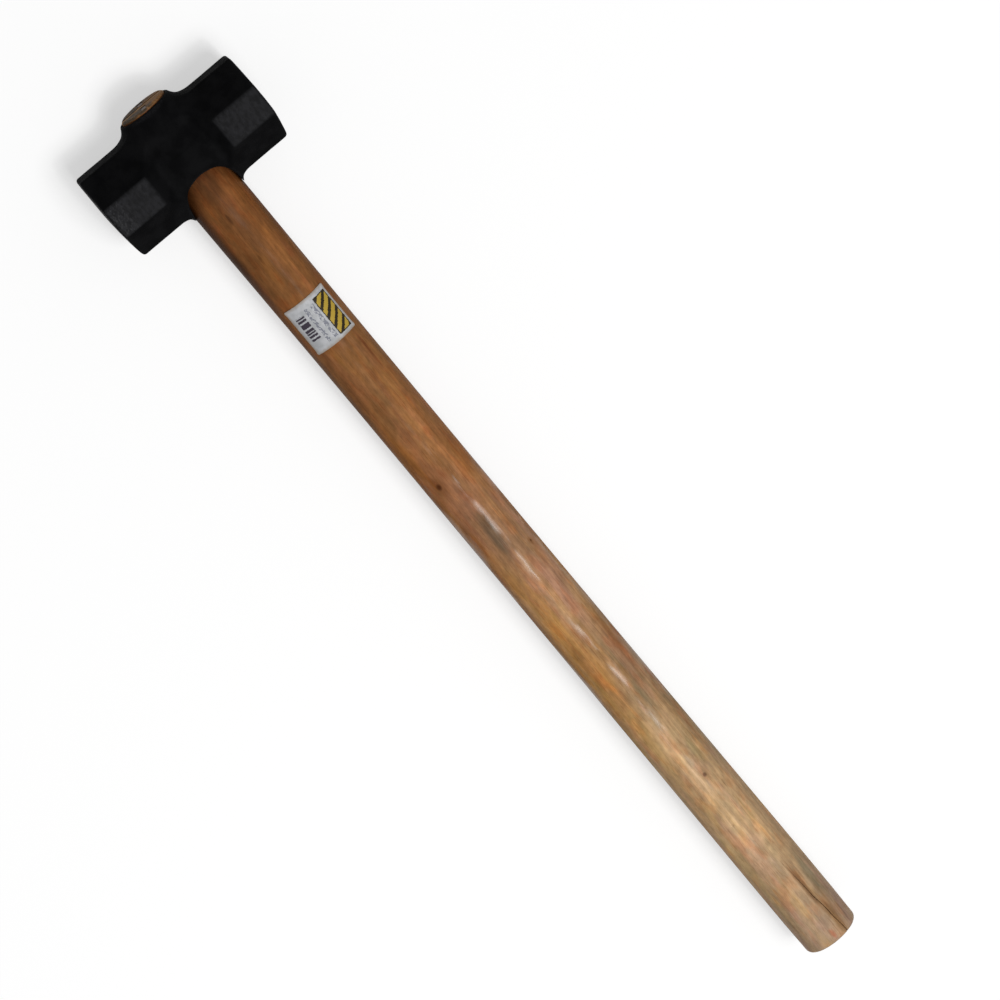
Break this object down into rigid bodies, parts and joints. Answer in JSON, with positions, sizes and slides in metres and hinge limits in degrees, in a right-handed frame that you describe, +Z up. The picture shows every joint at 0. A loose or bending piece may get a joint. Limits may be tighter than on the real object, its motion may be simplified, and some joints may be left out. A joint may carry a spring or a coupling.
{
  "type": "sledgehammer",
  "caption": "Sledgehammer lying on its side: forged black head with octagonal striking ends and a raised eye collar, wedged onto a long straight round wooden handle.",
  "frame": {"origin": "under the middle of the tool's box, on the surface that it lies on", "axes": "+X along the handle from its butt to the head, +Y towards one striking face, +Z up through the head's side flat"},
  "size_m": [0.8, 0.139, 0.0696],
  "materials": {
    "head_paint": "black forge paint, satin, over a slightly rough forged surface",
    "handle_wood": "clear lacquered hardwood, reddish brown, with the grain along the handle",
    "wedge_wood": "bare pale end grain",
    "wedge_steel": "hammered bare steel",
    "label_paper": null
  },
  "bodies": {
    "root": {"head": "head_paint", "handle": "handle_wood", "wooden_wedge": "wedge_wood", "steel_wedge_front": "wedge_steel", "steel_wedge_rear": "wedge_steel", "label": "label_paper"}
  },
  "joints": []
}
